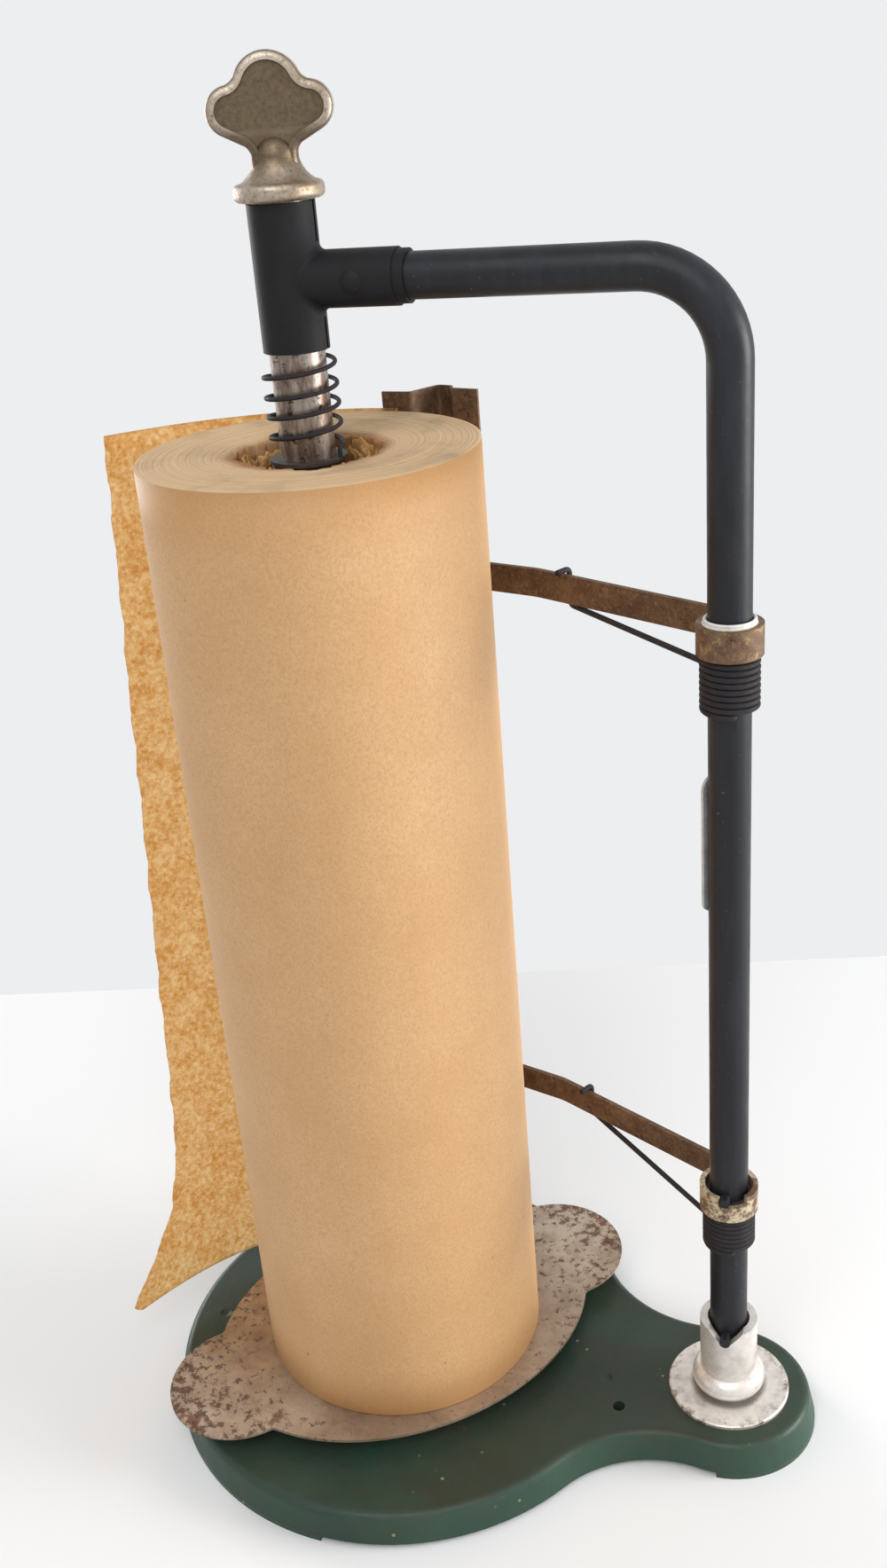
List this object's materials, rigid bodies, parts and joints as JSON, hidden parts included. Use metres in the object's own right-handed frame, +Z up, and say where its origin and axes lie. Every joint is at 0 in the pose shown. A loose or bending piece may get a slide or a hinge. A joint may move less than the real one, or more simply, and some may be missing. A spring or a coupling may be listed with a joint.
{
  "type": "paper roll dispenser",
  "caption": "Counter stand that holds an upright roll of wrapping paper on a ball-bearing turntable, with a sprung lift knob and a sprung tear bar behind the roll.",
  "frame": {"origin": "middle of the footprint's box on the counter, under the feet", "axes": "+Z up, +X from the roll's axis to the column, -Y towards the knob's front"},
  "size_m": [0.3516, 0.241, 0.6307],
  "materials": {
    "green_paint": "satin, worn",
    "nickel": "dull plated, rust pits",
    "black_paint": "satin",
    "knob_nickel": "cast and tarnished",
    "spring_steel": "dark, oiled",
    "rusty_strip": "mottled brown",
    "bearing_steel": "bright",
    "dark_sheet": "dull",
    "grey_leaf": "matt",
    "white_packing": "matt",
    "kraft_paper": "uncoated paper",
    "tail_paper": "uncoated paper, see-through"
  },
  "bodies": {
    "base": {"base_casting": "green_paint", "column_flange": "nickel", "flange_nut": "bearing_steel", "pivot_stud": "bearing_steel", "pivot_washer": "bearing_steel", "pivot_nut": "bearing_steel", "stud_washer": "bearing_steel", "stud_nut": "bearing_steel", "lower_race": "bearing_steel", "paper_tail": "tail_paper"},
    "ball_row": {"ball_cage": "bearing_steel", "bearing_balls": "bearing_steel"},
    "turntable": {"turntable_plate": "nickel", "turntable_hub": "bearing_steel", "hub_rivets": "bearing_steel", "upper_race": "bearing_steel", "race_rivets": "bearing_steel", "paper_roll": "kraft_paper", "core_stuffing": "kraft_paper"},
    "arm": {"arm_tube": "black_paint", "column_cross_pin": "black_paint", "collar_stop_pin": "black_paint", "arm_head": "black_paint", "arm_head_rivet": "black_paint", "spindle_spring": "spring_steel", "column_leaf": "grey_leaf", "leaf_rivet": "grey_leaf"},
    "spindle": {"spindle": "nickel", "knob": "knob_nickel", "knob_pin": "knob_nickel", "spring_seat": "dark_sheet", "cone_washer": "bearing_steel", "cone_screw": "bearing_steel"},
    "cone": {"core_cone": "dark_sheet"},
    "cutter": {"upper_cutter_arm": "rusty_strip", "lower_cutter_arm": "rusty_strip", "tear_bar": "rusty_strip", "tear_bar_rivets": "rusty_strip", "upper_eye_bush": "white_packing", "lower_eye_bush": "dark_sheet", "upper_torsion_spring": "spring_steel", "lower_torsion_spring": "spring_steel"}
  },
  "joints": [
    {"name": "turntable_spin", "type": "hinge", "parent": "base", "child": "turntable", "pos_m": [-0.0348, 0, 0], "axis": [0, 0, 1], "continuous": true},
    {"name": "ball_row_spin", "type": "hinge", "parent": "base", "child": "ball_row", "pos_m": [-0.0348, 0, 0], "axis": [0, 0, 1], "continuous": true},
    {"name": "arm_lift", "type": "slide", "parent": "base", "child": "arm", "axis": [0, 0, 1], "range_m": [0, 0.01]},
    {"name": "spindle_lift", "type": "slide", "parent": "arm", "child": "spindle", "axis": [0, 0, 1], "range_m": [0, 0.024], "stiffness_N_per_m": 400, "springref_m": -0.02, "deforming": ["spindle_spring"]},
    {"name": "cone_spin", "type": "hinge", "parent": "spindle", "child": "cone", "pos_m": [-0.0348, 0, 0], "axis": [0, 0, 1], "continuous": true},
    {"name": "cutter_swing", "type": "hinge", "parent": "arm", "child": "cutter", "pos_m": [0.1338, 0, 0], "axis": [0, 0, -1], "range_deg": [0, 35], "stiffness_Nm_per_rad": 0.8, "springref_deg": -34.38, "deforming": ["upper_torsion_spring", "lower_torsion_spring"]}
  ],
  "couplings": [
    {"joint": "cone_spin", "follows": "turntable_spin", "ratio": 1},
    {"joint": "ball_row_spin", "follows": "turntable_spin", "ratio": 0.5}
  ]
}
